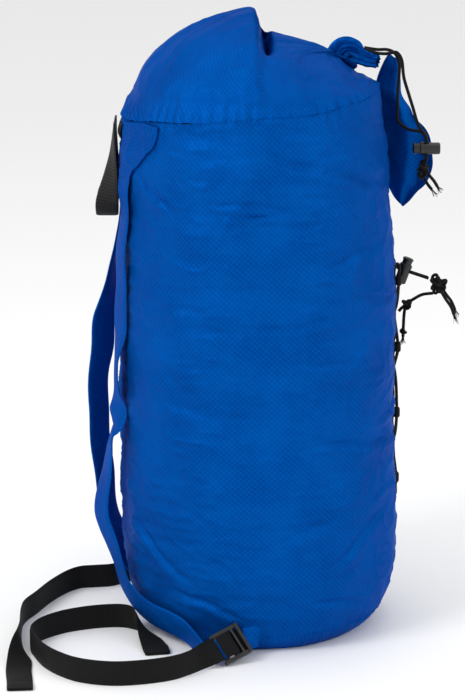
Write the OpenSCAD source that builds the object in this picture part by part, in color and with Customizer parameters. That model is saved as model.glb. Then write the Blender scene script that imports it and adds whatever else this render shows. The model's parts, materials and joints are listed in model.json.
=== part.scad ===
// Stuff sack with a drawcord mouth, shoulder straps, grab handle and side lacing.
// Origin at the centre of the base, on the floor. +Z up, -X the strap side, +X the lacing side.

/* [Sack] */
// Outer radius of the filled tube
tube_r = 137; // [135:0.5:139]
// Radius of the flat part of the base
base_flat_r = 105; // [100:1:108]
// Height of the seam between the base and the tube
base_seam_z = 18; // [17:0.5:19]
// Height of the seam between the tube and the hood
hood_seam_z = 530; // [526:1:534]
// Outer radius at the hood seam
hood_seam_r = 133; // [132:0.5:134]
// Thickness of the sewn fabric
fabric_t = 1.6; // [1.2:0.1:2]

/* [Webbing] */
// Width of the black webbing
web_w = 25; // [22:0.5:25]
// Thickness of the black webbing
web_t = 1.8; // [1.4:0.1:2]
// Width of a shoulder strap
strap_w = 30; // [28:1:32]
// Thickness of a shoulder strap
strap_t = 3.6; // [3:0.1:4]
// Width of the grab handle's webbing
handle_w = 22; // [20:0.5:22]
// Thickness of the grab handle's webbing
handle_t = 2.2; // [1.8:0.1:2.4]

/* [Cord locks] */
// Diameter of the drawcords
cord_d = 3; // [2.6:0.1:3.2]
// Outer radius of a cord lock's barrel
lock_r = 6; // [5.9:0.1:6.2]
// Radius of the barrel's bore
lock_bore_r = 5.1; // [5.1:0.05:5.2]
// Radius of the plunger
plunger_r = 4.9; // [4.8:0.05:4.95]
// Distance that the plunger travels when pressed
press_travel = 3.5; // [3:0.1:3.6]

/* [Ladder locks] */
// Outer width of a ladder lock
ladder_w = 33; // [32:0.5:34]
// Length of a ladder lock
ladder_l = 30; // [29:0.5:30]
// Thickness of a ladder lock's rails
ladder_t = 5; // [4.6:0.1:5]

/* [Lacing] */
// Height of the lowest lace loop
lace_z0 = 148; // [146:1:150]
// Distance between lace loops
lace_pitch = 68; // [66:1:68]
// Angle of each row of loops from the middle of the lacing
lace_angle = 11.4; // [11:0.1:12]
// Angle from the front line to the middle of the lacing
lace_turn = 9; // [6:0.5:12]

/* [Hidden] */

fabric_blue = "royalblue";
strap_blue = "mediumblue";
cord_black = "black";
plastic_black = "dimgray";
cord_sides = 8;
cord_r = cord_d / 2;

// Half outline of the base: flat, then rounded up to the base seam
base_outline = [
    [0, 0], [base_flat_r, 0], [112, 2.5], [117, 7], [120, 12], [121.8, base_seam_z]
];
// Half outline of the tube, straight where the lacing lies on it
tube_outline = [
    [122, base_seam_z], [125, 30], [128, 48], [131, 72], [134, 100], [tube_r, 130],
    [tube_r, 400], [136, 440], [134.5, 490], [hood_seam_r, hood_seam_z]
];
// Half outline of the hood, from its seam to the top
hood_outline = [
    [hood_seam_r, hood_seam_z], [128, 546], [120, 560], [107, 575], [88, 589], [66, 599],
    [40, 606], [20, 609], [0, 610]
];

// Places along the upper end and the lower end of the shoulder straps: centre, width and
// direction of the width
strap_top = [
    [[-118, -68, 522], 68, [0.5, -0.866, 0]], [[-123.6, -59.5, 500], 52, [0.434, -0.9, 0]],
    [[-129.6, -51, 478], 34, [0.366, -0.93, 0]], [[-131, -48.5, 455], 31, [0.334, -0.94, 0]]
];
strap_foot = [
    [[-132.5, -46, 48], 29, [0.3, -0.8, 0.41]], [[-124, -54, 36], 29, [0.1, -0.55, 0.8]],
    [[-113.5, -65, 29.5], 29, [-0.1, -0.3, 0.95]], [[-98.5, -84.5, 26], 28, [-0.16, -0.2, 0.96]],
    [[-83, -100.5, 23.5], 27, [-0.2, -0.1, 0.97]], [[-69, -113.5, 19], 26, [-0.15, -0.1, 0.98]],
    [[-60, -130, 14.8], 23, [-0.1, 0, 0.98]], [[-53.5, -143.5, 12.6], 19, [-0.2, 0.25, 0.93]],
    [[-47.8, -149, 11.5], 17, [-0.45, 0.45, 0.75]], [[-42.5, -149.6, 11.9], 17, [-0.5, 0.5, 0.69]],
    [[-38.3, -148.1, 13.3], 17, [-0.5, 0.5, 0.69]]
];
// Places between them: the near strap twists beside the sack, the far one hangs away from it
strap_middle_near = [
    [[-130.3, -50, 429], strap_w, [0.27, -0.96, 0]], [[-132.8, -45.6, 392], strap_w, [0.3, -0.95, 0]],
    [[-133.8, -44, 350], strap_w, [0.36, -0.93, 0]], [[-134.5, -42, 315], strap_w, [0.42, -0.91, 0]],
    [[-139, -41, 291], strap_w, [0.2, -0.98, 0]], [[-140, -40, 277], strap_w, [0.1, -0.99, 0]],
    [[-139, -40, 248], strap_w, [0.2, -0.98, 0]], [[-138.5, -42, 228], strap_w, [0.6, -0.8, 0]],
    [[-140, -41, 212], strap_w, [0.3, -0.95, 0]], [[-143, -40, 204], strap_w, [0.05, -1, 0]],
    [[-146, -39, 186], strap_w, [0.2, -0.98, 0]], [[-150, -38, 165], strap_w, [0.3, -0.95, 0]],
    [[-154.5, -37, 139], strap_w, [0.43, -0.9, 0]], [[-155.8, -37, 118], strap_w, [0.52, -0.85, 0]],
    [[-152, -38, 102], strap_w, [0.55, -0.83, 0]], [[-145.5, -40, 86], strap_w, [0.45, -0.88, 0.15]],
    [[-138.5, -42, 68], strap_w, [0.33, -0.92, 0.26]]
];
strap_middle_far = [
    [[-131.5, -48, 425], strap_w, [0.3, -0.95, 0]], [[-137, -42, 392], strap_w, [0.28, -0.96, 0]],
    [[-140.5, -41, 373], strap_w, [0.27, -0.96, 0]], [[-146.4, -41, 347], strap_w, [0.4, -0.92, 0]],
    [[-151.2, -41, 321], strap_w, [0.6, -0.8, 0]], [[-155, -41, 300], strap_w, [0.72, -0.69, 0]],
    [[-157, -41, 272], strap_w, [0.74, -0.67, 0]], [[-160, -40, 245], strap_w, [0.66, -0.75, 0]],
    [[-161.8, -40, 215], strap_w, [0.64, -0.77, 0]], [[-160.5, -40, 180], strap_w, [0.63, -0.77, 0]],
    [[-157, -40, 142], strap_w, [0.62, -0.78, 0]], [[-151, -40, 100], strap_w, [0.52, -0.85, 0]],
    [[-143.5, -42, 77], strap_w, [0.4, -0.88, 0.15]]
];
// Places along the near webbing tail, lying on its edge on the floor, flat at its end
tail_route_near = [
    [[-37.9, -153, 17.1], [0.52, -0.5, -0.69]], [[-41.6, -155.7, 16.4], [0.5, -0.45, -0.73]],
    [[-52, -163, 14.2], [0.2, -0.2, -0.96]], [[-66, -179, 12.8], [0, 0, -1]],
    [[-84, -194, 12.6], [0, 0, -1]], [[-113, -205, 12.6], [0, 0, -1]],
    [[-142, -208, 12.6], [0, 0, -1]], [[-171, -199, 12.6], [0, 0, -1]],
    [[-192, -181, 12.6], [0, 0, -1]], [[-208, -158, 12.6], [0, 0, -1]],
    [[-219, -130, 12.6], [0, 0, -1]], [[-224, -108, 12.6], [0, 0, -1]],
    [[-216, -84, 12.6], [0, 0, -1]], [[-198, -64, 12.6], [0, 0, -1]],
    [[-178, -52, 12.6], [0, 0, -1]], [[-158, -45, 12.6], [0, 0, -1]],
    [[-138, -43, 12.6], [0, 0, -1]], [[-125, -50, 12.6], [0.1, 0, -1]],
    [[-116, -66, 11.8], [0.5, 0, -0.86]], [[-109, -84, 8.6], [0.87, -0.1, -0.48]],
    [[-104, -100, 4.8], [0.95, -0.2, -0.2]], [[-100, -114, 1.6], [0.95, -0.3, 0]],
    [[-98, -124, 1.2], [0.95, -0.3, 0]]
];
// Places along the far webbing tail, on its edge, then flat towards the front
tail_route_far = [
    [[-37.9, 153, 17.1], [0.52, 0.5, -0.69]], [[-41.6, 155.7, 16.4], [0.5, 0.45, -0.73]],
    [[-52, 162, 14.2], [0.2, 0.2, -0.96]], [[-72, 158, 12.8], [0, 0, -1]],
    [[-100, 134, 12.6], [0, 0, -1]], [[-128, 106, 12.6], [0, 0, -1]],
    [[-150, 86, 12.6], [0, 0, -1]], [[-169, 81, 12.6], [0, 0, -1]],
    [[-185, 77, 12.6], [0, 0, -1]], [[-199, 61, 12.6], [0, 0, -1]],
    [[-214, 30, 12.6], [0, 0, -1]], [[-226, -4, 12.6], [0, 0, -1]],
    [[-235, -28, 12.6], [0, 0, -1]], [[-237.5, -50, 12.6], [0, 0, -1]],
    [[-236, -86, 12.6], [0, 0, -1]], [[-234.5, -112, 12.4], [0.2, 0, -0.98]],
    [[-233.5, -132, 9.8], [0.65, 0, -0.76]], [[-232.5, -150, 4.6], [0.95, 0, -0.3]],
    [[-232, -170, 1.2], [1, 0, 0]], [[-229, -198, 1.2], [1, -0.05, 0]],
    [[-227, -222, 1.2], [1, -0.05, 0]]
];
// Places along half of the grab handle, which twists from flat to edge-on
handle_route = [
    [[-140, -15.5, 513], [0, 1, 0]], [[-141, -15.5, 500], [-0.1, 1, 0]],
    [[-142, -16.5, 482], [-0.3, 0.95, 0]], [[-144, -17.5, 462], [-0.6, 0.8, 0]],
    [[-146.7, -17.5, 444], [-0.85, 0.53, 0]], [[-148.6, -15, 431], [-1, 0, 0]],
    [[-148.6, -9, 422], [-1, 0, 0]], [[-148.6, 0, 418], [-1, 0, 0]]
];
// Places down the middle of the throat flap: centre, width and direction of the width
flap_route = [
    [[128, 26, 572], 26, [0.7, -0.7, 0]], [[142, 24, 556], 42, [0.75, -0.66, 0]],
    [[151, 26, 530], 56, [0.75, -0.66, 0]], [[156, 30, 500], 64, [0.75, -0.66, 0]],
    [[157, 31, 470], 62, [0.75, -0.66, 0]], [[155, 30, 440], 44, [0.75, -0.66, 0]],
    [[151, 29, 420], 12, [0.75, -0.66, 0]]
];
flap_t = 2.4;

// Mouth cord lock: its hole's centre, with the plunger pointing at the sack
mouth_lock_at = [166, -10, 486];
// Lace cord lock: its hole's centre and the lean of its barrel
lace_lock_at = [150, 0, 356];
lace_lock_lean = 20;
lace_r = tube_r + 4;

// The two ends of the mouth cord, from the channel over the hood and down through the lock
mouth_route_long = [
    [106, 20, 580], [116, 14, 577], [125, 7, 577], [131, 0, 579], [136.4, -3, 579.5],
    [141, -5, 572], [143, -7, 556], [147.5, -9, 541], [152, -11, 527], [157, -12, 511],
    [163, -12, 501], [166, -11.7, 494], [166, -11.6, 486], [166, -11.6, 473.4]
];
mouth_route_short = [
    [106, 28, 580], [118, 22, 579], [128, 14, 580], [135, 8, 577], [139, 5, 568], [139, 5, 555],
    [138, 6, 541], [138, 6, 527], [138.5, 9, 511], [148, 4, 503], [158, -3, 502],
    [164.6, -7, 500], [166, -8.4, 494], [166, -8.4, 486], [166, -8.4, 473.4]
];
mouth_tails = [
    [[165, -12, 466], [169, -14, 460], [174, -15, 454], [177, -15, 449]],
    [[162, -8, 464], [164, -9, 457], [168, -10, 450], [172, -10, 445]]
];
mouth_knot_balls = [[163.5, -10, 468, 7], [161, -10, 461, 5.6]];

// The near half of the lace, from the middle of the lowest rung up to the big knot.
// Each entry is the angle round the sack, the height and the rise off the fabric.
lace_rungs = 4;
lace_clear = 1.6;
// Rise of the near and of the far half where they cross
lace_under = -2.3;
lace_over = 0.9;

lace_knot_balls = [[182, 0, 343, 9], [188.5, 0.5, 340, 8.5], [183.5, -1, 335.5, 8]];
lace_tails = [
    [[189, 2, 337], [194, 3, 329], [200, 4, 321], [204, 4, 312]],
    [[187, -2, 335], [192, -3, 326], [198, -4, 317], [201, -4, 309]]
];
lace_tie_route = [
    [180, 0, 331], [169, 0, 330], [160, -1, 326], [155.5, -1, 323]
];
lace_tie_end = [[149, -0.5, 318], [146.5, 0, 315.5], [144.9, 0, 313.5]];
lace_tie_drop = [
    [151, -1, 316], [150, -1.5, 308], [149.6, -2, 301], [149.4, -2, 295]
];
tie_knot_balls = [[153, -1, 321, 6.2], [149.4, -2, 292.5, 3.4]];

// Ladder lock: centre, roll, heading and slant of the near one
ladder_at = [-26, -142, 18];
ladder_roll = -50;
ladder_heading = 190;
ladder_slant = 25;
strap_bar_x = 11;
strap_bar_r = 2.1;
loop_gap = 0.5;

function unit(v) = v / norm(v);
function along(v, t) = v - t * (v * t);
function tangents(p) = [for (i = [0:len(p) - 1]) unit(p[min(i + 1, len(p) - 1)] - p[max(i - 1, 0)])];
function carried(t) = [
    for (
        i = 0, n = unit(cross(t[0], [0.31, 0.52, 0.79]));
        i < len(t);
        i = i + 1, n = i < len(t) ? unit(along(n, t[i])) : n
    ) n
];
function cord_rings(p, r, t, n) = [
    for (i = [0:len(p) - 1]) [
        for (j = [0:cord_sides - 1])
            let (a = 360 * j / cord_sides)
            p[i] + r * (cos(a) * n[i] + sin(a) * cross(t[i], n[i]))
    ]
];
function band_rings(p, d, w, th, t) = [
    for (i = [0:len(p) - 1])
        let (e = unit(along(d[i], t[i])), f = cross(t[i], e))
        [
            p[i] + e * w[i] / 2 + f * th / 2, p[i] - e * w[i] / 2 + f * th / 2,
            p[i] - e * w[i] / 2 - f * th / 2, p[i] + e * w[i] / 2 - f * th / 2
        ]
];
function lace_point(a, z, lift) = [(lace_r + lift) * cos(a), (lace_r + lift) * sin(a), z];
// One half of the lace: side is -1 for the row nearer -Y at the bottom, lift raises its crossings
function lace_half(side, lift) = [
    lace_point(0, lace_z0 - 9, 0),
    lace_point(side * lace_angle * 0.8, lace_z0 - 8, 0),
    for (k = [0:lace_rungs - 1])
        let (s = k % 2 == 0 ? side : -side, z = lace_z0 + k * lace_pitch)
        each concat(
            [lace_point(s * lace_angle, z - 5, 0), lace_point(s * lace_angle, z + 5, 0)],
            k < lace_rungs - 1 ? [lace_point(0, z + lace_pitch / 2, lift)] : []
        )
];
lean = [cos(lace_lock_lean), 0, -sin(lace_lock_lean)];
function lace_end(s) = [
    [140.8, s * 19, 364], [141, s * 8, 364.5], [141, s * 3, 361],
    lace_lock_at - 5.6 * lean + [0, s * lace_clear, 0],
    lace_lock_at + [0, s * lace_clear, 0],
    lace_lock_at + 26 * lean + [0, s * lace_clear, 0]
];

// The two triangles between neighbouring points j of one ring and of the next
function two_facets(low, up, j, m) = [
    [low + j, up + j, up + (j + 1) % m], [low + j, up + (j + 1) % m, low + (j + 1) % m]
];

module skin(rings) {
    m = len(rings[0]);
    last = (len(rings) - 1) * m;
    polyhedron(
        points = [for (r = rings) each r],
        faces = concat(
            [[for (j = [0:m - 1]) j]],
            [for (i = [0:len(rings) - 2], j = [0:m - 1]) each two_facets(i * m, (i + 1) * m, j, m)],
            [[for (j = [m - 1:-1:0]) last + j]]
        )
    );
}

module cord(p, r = cord_r) {
    t = tangents(p);
    skin(cord_rings(p, r, t, carried(t)));
}

module band(p, d, w, th) {
    skin(band_rings(p, d, w, th, tangents(p)));
}

module strap_band(route, th) {
    band([for (s = route) s[0]], [for (s = route) s[2]], [for (s = route) s[1]], th);
}

module web_band(route, w, th) {
    band([for (s = route) s[0]], [for (s = route) s[1]], [for (s = route) w], th);
}

module balls(list) {
    for (b = list) translate([b[0], b[1], b[2]]) sphere(r = b[3], $fn = 24);
}

// Half outline of a skin: an outline and the same outline moved inwards
module turned_skin(outline, inset) {
    inner = [for (i = [len(outline) - 1:-1:0]) [max(outline[i][0] - inset, 0), outline[i][1]]];
    rotate_extrude($fn = 96) polygon(concat(outline, inner));
}

module stadium(r, half) {
    translate([half, 0]) circle(r = r, $fn = 32);
    translate([-half, 0]) circle(r = r, $fn = 32);
    square([2 * half, 2 * r], center = true);
}

// ---- the sack ----

module packed_fill() {
    gap = fabric_t + 0.4;
    shell = concat(tube_outline, [for (i = [1:len(hood_outline) - 1]) hood_outline[i]]);
    inner = [
        for (i = [1:len(shell) - 1])
            let (p = shell[i]) [max(p[0] - gap, 0), p[1] - gap * (p[1] > hood_seam_z ? 1 : 0)]
    ];
    color("gray") rotate_extrude($fn = 96) polygon(
        concat([[0, 2.4], [base_flat_r - 3, 2.4], [113, 9], [118.6, base_seam_z]], inner)
    );
}

module base_panel() {
    floor_t = 2;
    inner = [
        [119.8, base_seam_z], [118, 12.6], [115.2, 8.4], [110.8, 4.6],
        [base_flat_r - 1, floor_t], [0, floor_t]
    ];
    color(fabric_blue) rotate_extrude($fn = 96) polygon(concat(base_outline, inner));
}

module base_seam_binding() {
    color(fabric_blue) rotate_extrude($fn = 96)
        translate([122.3, base_seam_z - 1.6]) square([1.7, 2.5]);
}

module main_tube() {
    color(fabric_blue) turned_skin(tube_outline, fabric_t);
}

module hood_seam_binding() {
    color(fabric_blue) rotate_extrude($fn = 96)
        translate([hood_seam_r + 0.2, hood_seam_z - 2.4]) square([1.6, 3.2]);
}

module hood_panel() {
    inner = [
        for (i = [len(hood_outline) - 1:-1:0])
            let (p = hood_outline[i]) [max(p[0] - fabric_t, 0), i == 0 ? p[1] : p[1] - fabric_t]
    ];
    color(fabric_blue) rotate_extrude($fn = 96) polygon(concat(hood_outline, inner));
}

module mouth_channel() {
    color(fabric_blue) translate([84, 25, 590]) rotate([0, 28, 0]) difference() {
        cylinder(r1 = 17, r2 = 20, h = 15, $fn = 48);
        translate([0, 0, -1]) cylinder(r = 3, h = 18, $fn = 24);
    }
}

module throat_flap() {
    color(fabric_blue) strap_band(flap_route, flap_t);
}

// ---- mouth cord and its lock ----

module mouth_cord_long() {
    color(cord_black) cord(mouth_route_long);
}

module mouth_cord_short() {
    color(cord_black) cord(mouth_route_short);
}

module mouth_knot() {
    color(cord_black) {
        balls(mouth_knot_balls);
        for (t = mouth_tails) cord(t);
    }
}

// A cord lock stands on its plunger's axis: z out of the barrel, x along the cords
module lock_barrel() {
    slot_w = 3.5;
    slot_h = 2.2;
    difference() {
        rotate_extrude($fn = 64) polygon([
            [0, -13.5], [lock_r - 1, -13.5], [lock_r - 0.2, -12.5], [lock_r, 2.6], [lock_r + 0.4, 3.2],
            [lock_r + 0.4, 5.8], [lock_r - 0.2, 6.5], [0, 6.5]
        ]);
        translate([0, 0, -12]) cylinder(r = lock_bore_r, h = 20, $fn = 64);
        rotate([90, 0, 90]) translate([0, 0, -10]) linear_extrude(20)
            square([2 * slot_w, 2 * slot_h], center = true);
    }
}

module lock_plunger() {
    slot_w = 3.5;
    low = -1.9;
    high = 2 + press_travel;
    difference() {
        union() {
            translate([0, 0, -5]) cylinder(r = plunger_r, h = 15.8, $fn = 64);
            translate([0, 0, 10.4]) rotate_extrude($fn = 64)
                polygon([[0, 0], [5, 0], [5.6, 0.8], [5.6, 1.8], [4.4, 2.8], [2, 3.2], [0, 3.2]]);
        }
        translate([-10, -slot_w, low]) cube([20, 2 * slot_w, high - low]);
    }
}

// The spring, drawn at its pressed length on the barrel's floor
module lock_spring() {
    wire_r = 0.4;
    coil_r = 3.6;
    for (k = [0:2]) translate([0, 0, -11.5 + k])
        rotate_extrude($fn = 48) translate([coil_r, 0]) circle(r = wire_r + 0.1, $fn = 16);
}

module at_mouth_lock() {
    translate(mouth_lock_at) rotate([0, -90, 0]) children();
}

module mouth_lock_barrel() {
    color(plastic_black) at_mouth_lock() lock_barrel();
}

module mouth_lock_spring() {
    color("silver") at_mouth_lock() lock_spring();
}

module mouth_lock_plunger() {
    color(plastic_black) at_mouth_lock() lock_plunger();
}

// ---- shoulder straps and ladder locks ----

module shoulder_strap_near() {
    color(strap_blue) strap_band(concat(strap_top, strap_middle_near, strap_foot), strap_t);
}

module shoulder_strap_far() {
    color(strap_blue) mirror([0, 1, 0])
        strap_band(concat(strap_top, strap_middle_far, strap_foot), strap_t);
}

// A ladder lock lies along x: sewn bar at +x, webbing coming in at -x, bars along y, z outwards
module at_ladder() {
    translate(ladder_at) rotate([ladder_roll, 0, ladder_heading]) rotate([0, 0, ladder_slant]) children();
}

module across(x, z, r, w) {
    translate([x, w / 2, z]) rotate([90, 0, 0]) cylinder(r = r, h = w, $fn = 48);
}

module ladder_lock() {
    rail_w = 3.5;
    rail_y = (ladder_w - rail_w) / 2;
    for (s = [-1, 1]) translate([-ladder_l / 2, s * rail_y - rail_w / 2, -ladder_t / 2])
        cube([ladder_l, rail_w, ladder_t]);
    across(strap_bar_x, 0, strap_bar_r, ladder_w - 2);
    translate([-1.6, -ladder_w / 2 + 1, -1.6]) cube([4.2, ladder_w - 2, 3.4]);
    across(-7.6, 0.4, 1.9, ladder_w - 2);
    translate([-15, -ladder_w / 2, 0.4]) cube([3.2, ladder_w, 3.2]);
}

module strap_loop() {
    rotate([90, 0, 0]) translate([strap_bar_x, 0, -11]) difference() {
        cylinder(r = strap_bar_r + loop_gap + 1.5, h = 22, $fn = 48);
        translate([0, 0, -1]) cylinder(r = strap_bar_r + loop_gap, h = 24, $fn = 48);
    }
}

// Webbing held in the ladder lock: in from behind, up between the bars and over the middle bar
module webbing_wrap() {
    path = [
        [-14, -4.6], [-3.4, -4.6], [-2, -3.2], [-2, 2.4], [-1.4, 2.5], [0, 4.7], [11, 4.8],
        [11, 6.4], [-1, 6.3], [-3.8, 3.6], [-3.8, -2.8], [-14, -2.8]
    ];
    rotate([90, 0, 0]) translate([0, 0, -12]) linear_extrude(24) polygon(path);
}

module strap_loop_near() {
    color(strap_blue) at_ladder() strap_loop();
}

module strap_loop_far() {
    color(strap_blue) mirror([0, 1, 0]) at_ladder() strap_loop();
}

module ladder_lock_near() {
    color(plastic_black) at_ladder() ladder_lock();
}

module ladder_lock_far() {
    color(plastic_black) mirror([0, 1, 0]) at_ladder() ladder_lock();
}

module webbing_wrap_near() {
    color(cord_black) at_ladder() webbing_wrap();
}

module webbing_wrap_far() {
    color(cord_black) mirror([0, 1, 0]) at_ladder() webbing_wrap();
}

module anchor_band() {
    web_band([
        [[2, -126.4, 20], [0.1, 0.2, -0.97]], [[-0.8, -127.3, 20.1], [0.17, 0.06, -0.96]],
        [[-3.4, -128.7, 20.2], [0.24, -0.07, -0.93]], [[-6, -129.8, 20.4], [0.3, -0.18, -0.9]],
        [[-8.1, -130.7, 20.6], [0.37, -0.25, -0.87]], [[-9.9, -131.5, 20.8], [0.43, -0.33, -0.83]]
    ], web_w - 3, web_t);
}

module anchor_webbing_near() {
    color(cord_black) anchor_band();
}

module anchor_webbing_far() {
    color(cord_black) mirror([0, 1, 0]) anchor_band();
}

module webbing_tail_near() {
    color(cord_black) web_band(tail_route_near, web_w, web_t);
}

module webbing_tail_far() {
    color(cord_black) web_band(tail_route_far, web_w, web_t);
}

// ---- grab handle ----

module handle_patch() {
    color(cord_black) for (s = [-1, 1])
        rotate([0, 0, 180 + s * 6.6]) rotate_extrude(angle = 9, start = -4.5, $fn = 96)
            translate([134.4, hood_seam_z - 16]) square([2.2, 12]);
}

module grab_handle() {
    far_half = [
        for (i = [len(handle_route) - 2:-1:0])
            let (s = handle_route[i])
            [[s[0][0], -s[0][1], s[0][2]], [s[1][0], -s[1][1], 0]]
    ];
    color(cord_black) web_band(concat(handle_route, far_half), handle_w, handle_t);
}

// ---- lacing ----

// Everything in the lacing is drawn about the front line and turned into its place
module at_lacing() {
    rotate([0, 0, lace_turn]) children();
}

module lace_tape(side) {
    rotate([0, 0, side * lace_angle]) rotate_extrude(angle = 5, start = -2.5, $fn = 96)
        translate([tube_r, lace_z0 - 16]) square([1, 3 * lace_pitch + 32]);
}

module lace_loops(side) {
    loop_h = 8;
    for (k = [0:lace_rungs - 1])
        rotate([0, 0, side * lace_angle]) translate([lace_r, 0, lace_z0 + k * lace_pitch - loop_h / 2])
            rotate([0, 0, 90]) linear_extrude(loop_h) difference() {
                stadium(2.9, 2.6);
                stadium(2, 2.6);
            }
}

module lace_tape_near() {
    color(cord_black) at_lacing() lace_tape(-1);
}

module lace_tape_far() {
    color(cord_black) at_lacing() lace_tape(1);
}

module lace_loops_near() {
    color(cord_black) at_lacing() lace_loops(-1);
}

module lace_loops_far() {
    color(cord_black) at_lacing() lace_loops(1);
}

module lace_cord_near() {
    color(cord_black) at_lacing() cord(concat(lace_half(-1, lace_under), lace_end(1)));
}

module lace_cord_far() {
    color(cord_black) at_lacing() cord(concat(lace_half(1, lace_over), lace_end(-1)));
}

module lace_knot() {
    color(cord_black) at_lacing() {
        balls(lace_knot_balls);
        for (t = lace_tails) cord(t);
    }
}

module lace_tie_cord() {
    color(cord_black) at_lacing() {
        cord(lace_tie_route);
        cord(lace_tie_end);
        cord(lace_tie_drop);
    }
}

module lace_tie_knots() {
    color(cord_black) at_lacing() balls(tie_knot_balls);
}

module at_lace_lock() {
    at_lacing() translate(lace_lock_at) rotate([0, lace_lock_lean, 0]) children();
}

module lace_lock_barrel() {
    color(plastic_black) at_lace_lock() lock_barrel();
}

module lace_lock_spring() {
    color("silver") at_lace_lock() lock_spring();
}

module lace_lock_plunger() {
    color(plastic_black) at_lace_lock() lock_plunger();
}

packed_fill();
base_panel();
base_seam_binding();
main_tube();
hood_seam_binding();
hood_panel();
mouth_channel();
throat_flap();
mouth_cord_long();
mouth_cord_short();
mouth_knot();
mouth_lock_barrel();
mouth_lock_spring();
mouth_lock_plunger();
shoulder_strap_near();
shoulder_strap_far();
strap_loop_near();
strap_loop_far();
ladder_lock_near();
ladder_lock_far();
webbing_wrap_near();
webbing_wrap_far();
anchor_webbing_near();
anchor_webbing_far();
webbing_tail_near();
webbing_tail_far();
handle_patch();
grab_handle();
lace_tape_near();
lace_tape_far();
lace_loops_near();
lace_loops_far();
lace_cord_near();
lace_cord_far();
lace_knot();
lace_tie_cord();
lace_tie_knots();
lace_lock_barrel();
lace_lock_spring();
lace_lock_plunger();
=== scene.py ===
import json
import random
from math import atan2, cos, degrees, exp, hypot, pi, radians, sin, sqrt

import bpy
from mathutils import Euler, Matrix, Vector, noise

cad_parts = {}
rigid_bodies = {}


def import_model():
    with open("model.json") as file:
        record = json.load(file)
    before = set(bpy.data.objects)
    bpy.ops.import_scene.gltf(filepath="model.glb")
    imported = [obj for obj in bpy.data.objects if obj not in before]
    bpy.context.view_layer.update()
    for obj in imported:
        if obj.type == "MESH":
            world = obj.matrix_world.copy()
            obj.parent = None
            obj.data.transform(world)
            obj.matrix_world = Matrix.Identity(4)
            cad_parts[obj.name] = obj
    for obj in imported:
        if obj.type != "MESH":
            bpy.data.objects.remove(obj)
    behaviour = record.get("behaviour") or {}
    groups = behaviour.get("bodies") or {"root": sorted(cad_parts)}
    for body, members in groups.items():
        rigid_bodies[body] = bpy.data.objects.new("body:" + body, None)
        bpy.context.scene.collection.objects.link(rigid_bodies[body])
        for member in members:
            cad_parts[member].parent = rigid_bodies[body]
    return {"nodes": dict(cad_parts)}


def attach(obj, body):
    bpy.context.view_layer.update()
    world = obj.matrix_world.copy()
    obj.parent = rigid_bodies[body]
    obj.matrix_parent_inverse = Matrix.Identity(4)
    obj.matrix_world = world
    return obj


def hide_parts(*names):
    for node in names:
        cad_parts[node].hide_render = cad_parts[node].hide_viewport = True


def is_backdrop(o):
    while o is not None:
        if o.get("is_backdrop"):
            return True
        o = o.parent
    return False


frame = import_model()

MM = 0.001
SCENE = bpy.context.scene
SHARP_EDGE = radians(62)
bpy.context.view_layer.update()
ROOT = "sack"

# ---- camera
CAMERA_AT = (-0.0245, -2.8, 0.99)
AIM_Z = 0.279
CAMERA_PITCH = atan2(CAMERA_AT[2] - AIM_Z, -CAMERA_AT[1])


def make_camera():
    data = bpy.data.cameras.new("camera")
    data.lens = 148.0
    data.sensor_width = 36.0
    camera = bpy.data.objects.new("camera", data)
    camera.location = CAMERA_AT
    camera.rotation_euler = (pi / 2 - CAMERA_PITCH, 0.0, 0.0)
    SCENE.collection.objects.link(camera)
    SCENE.camera = camera


# ---- small maths
def lerp(a, b, t):
    return a + (b - a) * t


def smoothstep(low, high, x):
    t = min(max((x - low) / (high - low), 0.0), 1.0)
    return t * t * (3 - 2 * t)


def bell(x, centre, width):
    return exp(-(((x - centre) / width) ** 2))


def spline(points, steps):
    """Catmull-Rom curve through rows of numbers, with a number of steps for each stretch."""
    out = []
    last = len(points) - 1
    for i in range(last):
        p0, p1 = points[max(i - 1, 0)], points[i]
        p2, p3 = points[i + 1], points[min(i + 2, last)]
        for s in range(steps):
            t = s / steps
            out.append([
                0.5 * (2 * b + (c - a) * t + (2 * a - 5 * b + 4 * c - d) * t * t
                       + (3 * b - a - 3 * c + d) * t ** 3)
                for a, b, c, d in zip(p0, p1, p2, p3)
            ])
    out.append(list(points[-1]))
    return out


def even(rows, step):
    """The same curve with rows a fixed distance apart, measured on the first three numbers."""
    lengths = [0.0]
    for a, b in zip(rows, rows[1:]):
        lengths.append(lengths[-1] + (Vector(b[:3]) - Vector(a[:3])).length)
    total = lengths[-1]
    count = max(int(round(total / step)), 2)
    out, k = [], 0
    for i in range(count + 1):
        at = total * i / count
        while k < len(lengths) - 2 and lengths[k + 1] < at:
            k += 1
        gap = lengths[k + 1] - lengths[k]
        t = (at - lengths[k]) / gap if gap else 0.0
        out.append([lerp(a, b, t) for a, b in zip(rows[k], rows[k + 1])])
    return out, total


def profile(table, z):
    """A height-and-value table read at z, with smooth steps between its rows."""
    if z <= table[0][0]:
        return table[0][1]
    for i in range(len(table) - 1):
        z0, v0 = table[i]
        z1, v1 = table[i + 1]
        if z <= z1:
            before = table[max(i - 1, 0)]
            after = table[min(i + 2, len(table) - 1)]
            m0 = (v1 - before[1]) / (z1 - before[0])
            m1 = (after[1] - v0) / (after[0] - z0)
            h = z1 - z0
            t = (z - z0) / h
            return ((2 * t ** 3 - 3 * t * t + 1) * v0 + (t ** 3 - 2 * t * t + t) * h * m0
                    + (3 * t * t - 2 * t ** 3) * v1 + (t ** 3 - t * t) * h * m1)
    return table[-1][1]


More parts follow.
